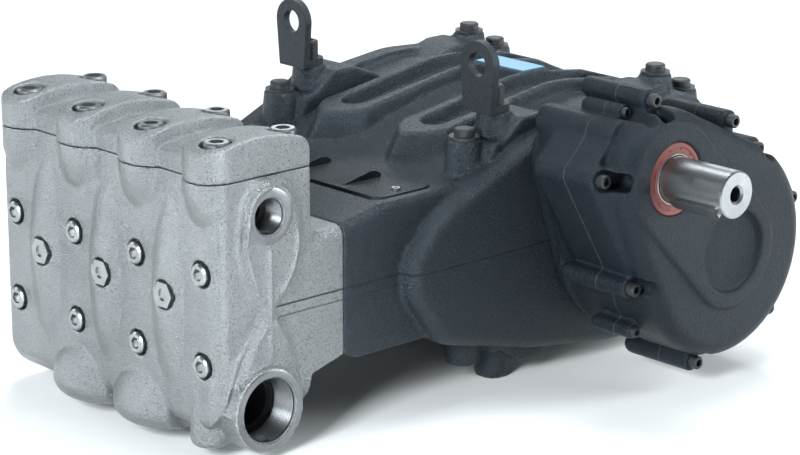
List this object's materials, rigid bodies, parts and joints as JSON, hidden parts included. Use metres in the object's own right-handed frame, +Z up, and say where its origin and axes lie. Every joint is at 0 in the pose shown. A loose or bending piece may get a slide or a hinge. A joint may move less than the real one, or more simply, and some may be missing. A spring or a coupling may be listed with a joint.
{
  "type": "plunger pump with gearbox",
  "caption": "Horizontal high-pressure triplex plunger pump: silver fluid end, dark crankcase with lifting eyes, and a side gearbox with a keyed input shaft.",
  "frame": {"origin": "centre of the four foot holes, on the floor plane", "axes": "+X along the crankshaft towards the gearbox and its input shaft, +Y from the fluid end at the front to the rear of the crankcase, +Z up"},
  "size_m": [0.738, 0.8299, 0.416],
  "materials": {
    "head_casting": "blasted casting, fine grain, matt",
    "bright_screw": "zinc plated, satin",
    "case_paint": "charcoal paint over cast grain, semi matt",
    "cover_paint": "charcoal paint, smoother, satin",
    "blue_plate": "plain light blue plate, satin",
    "dark_screw": "black, satin",
    "dark_steel": "charcoal paint on flat steel, satin",
    "seal_rubber": "red-brown rubber, matt",
    "shaft_steel": "ground steel, satin"
  },
  "bodies": {
    "pump": {"access_cover": "cover_paint", "access_cover_screws": "bright_screw", "bearing_cover": "cover_paint", "bearing_cover_screws": "dark_screw", "blue_plate": "blue_plate", "case_bolts_left": "dark_screw", "case_bolts_right": "dark_screw", "case_washers_left": "dark_screw", "case_washers_right": "dark_screw", "crankcase_lower": "case_paint", "crankcase_upper": "case_paint", "eye_screw_left": "dark_screw", "eye_screw_right": "dark_screw", "flange": "head_casting", "fluid_end": "head_casting", "front_screws": "bright_screw", "gear_cover": "cover_paint", "gear_cover_screws": "dark_screw", "gear_housing": "cover_paint", "hex_plugs": "bright_screw", "lifting_eye_left": "dark_steel", "lifting_eye_right": "dark_steel", "shaft_seal": "seal_rubber", "valve_cover": "head_casting", "valve_cover_screws": "bright_screw"},
    "shaft": {"input_shaft": "shaft_steel", "shaft_key": "shaft_steel"}
  },
  "joints": [
    {"name": "shaft_spin", "type": "hinge", "parent": "pump", "child": "shaft", "pos_m": [0.398, -0.078, 0.2785], "axis": [1, 0, 0], "continuous": true}
  ]
}
